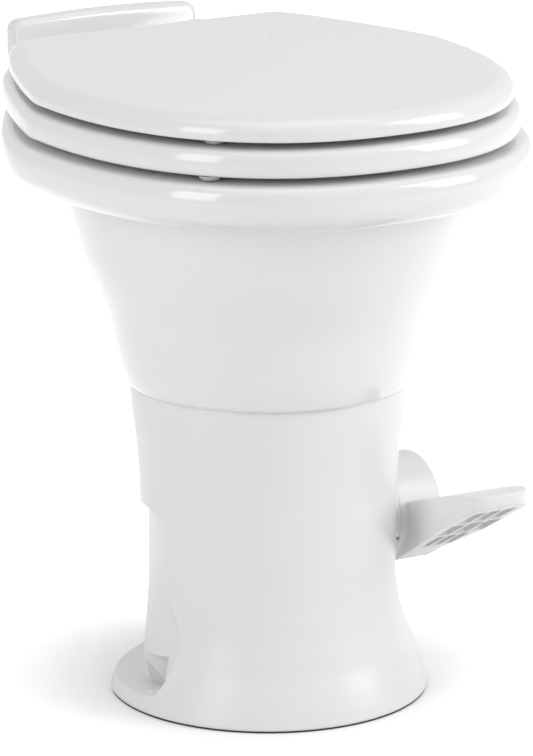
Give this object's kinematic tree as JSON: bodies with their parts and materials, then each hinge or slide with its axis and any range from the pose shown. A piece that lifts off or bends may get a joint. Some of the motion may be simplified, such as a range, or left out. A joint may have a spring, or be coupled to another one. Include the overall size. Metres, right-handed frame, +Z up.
{
  "type": "motor home toilet",
  "caption": "Motor home toilet: a glazed bowl with a hinged seat and lid on a round waisted pedestal, flushed by a foot pedal that turns a ball valve.",
  "frame": {"origin": "on the floor, under the middle of the whole object's box", "axes": "+Z up, -Y towards the front of the bowl, +X towards the user's left when seated, where the pedal is"},
  "size_m": [0.3848, 0.473, 0.483],
  "materials": {
    "glazed_ceramic": null,
    "white_moulding": "glossy white moulding",
    "white_enamel": "moulded wood board with glossy white enamel",
    "grey_moulding": "grey engineering plastic",
    "black_rubber": "black rubber",
    "soft_bumper": "clear soft vinyl",
    "stainless_steel": "stainless steel",
    "brass": "plain brass"
  },
  "bodies": {
    "toilet": {"bowl": "glazed_ceramic", "pedestal": "white_moulding", "cartridge_housing": "white_moulding", "vacuum_breaker": "white_moulding", "breaker_cap": "white_moulding", "bowl_inlet": "white_moulding", "water_valve": "white_moulding", "hinge_post_left": "white_moulding", "hinge_post_right": "white_moulding", "valve_body": "grey_moulding", "shaft_bush_left": "grey_moulding", "shaft_bush_right": "grey_moulding", "clamp_front": "grey_moulding", "clamp_rear": "grey_moulding", "hinge_wing_nut_left": "grey_moulding", "hinge_wing_nut_right": "grey_moulding", "flange_seal": "black_rubber", "bowl_seal": "black_rubber", "ball_seal": "black_rubber", "shaft_seal_left": "black_rubber", "shaft_seal_right": "black_rubber", "supply_hose": "black_rubber", "closet_bolt_left": "stainless_steel", "closet_bolt_right": "stainless_steel", "closet_nut_left": "stainless_steel", "closet_nut_right": "stainless_steel", "clamp_screw_left": "stainless_steel", "clamp_screw_right": "stainless_steel", "clamp_nut_left": "stainless_steel", "clamp_nut_right": "stainless_steel", "housing_screw_lower": "stainless_steel", "housing_screw_upper": "stainless_steel", "valve_screw_lower": "stainless_steel", "valve_screw_upper": "stainless_steel", "torsion_spring": "stainless_steel", "hose_clamp_lower": "stainless_steel", "hose_clamp_upper": "stainless_steel", "hinge_pin_left": "stainless_steel", "hinge_pin_right": "stainless_steel", "hinge_bolt_left": "stainless_steel", "hinge_bolt_right": "stainless_steel", "hinge_washer_left": "stainless_steel", "hinge_washer_right": "stainless_steel", "inlet_fitting": "brass"},
    "pedal_drive": {"pedal": "white_moulding", "flush_ball": "grey_moulding", "drive_cam": "grey_moulding", "drive_shaft": "stainless_steel", "pivot_pin": "stainless_steel", "pedal_screw": "stainless_steel"},
    "plunger": {"valve_plunger": "grey_moulding"},
    "seat": {"seat": "white_enamel", "seat_bumper_front_left": "soft_bumper", "seat_bumper_front_right": "soft_bumper", "seat_bumper_rear_left": "soft_bumper", "seat_bumper_rear_right": "soft_bumper"},
    "lid": {"lid": "white_enamel", "lid_bumper_front_left": "soft_bumper", "lid_bumper_front_right": "soft_bumper"}
  },
  "joints": [
    {"name": "lid_hinge", "type": "hinge", "parent": "toilet", "child": "lid", "pos_m": [0, 0.17745, 0.462], "axis": [-1, 0, 0], "range_deg": [0, 110]},
    {"name": "seat_hinge", "type": "hinge", "parent": "toilet", "child": "seat", "pos_m": [0, 0.17745, 0.462], "axis": [-1, 0, 0], "range_deg": [0, 99]},
    {"name": "pedal_hinge", "type": "hinge", "parent": "toilet", "child": "pedal_drive", "pos_m": [0, -0.03455, 0.125], "axis": [1, 0, 0], "range_deg": [0, 54], "stiffness_Nm_per_rad": 2, "springref_deg": -28.65},
    {"name": "plunger_slide", "type": "slide", "parent": "toilet", "child": "plunger", "axis": [0, 1, 0], "range_m": [0, 0.0068]}
  ],
  "couplings": [
    {"joint": "seat_hinge", "follows": "lid_hinge", "ratio": 0.9},
    {"joint": "plunger_slide", "follows": "pedal_hinge", "m_per_rad": 0.0072}
  ]
}
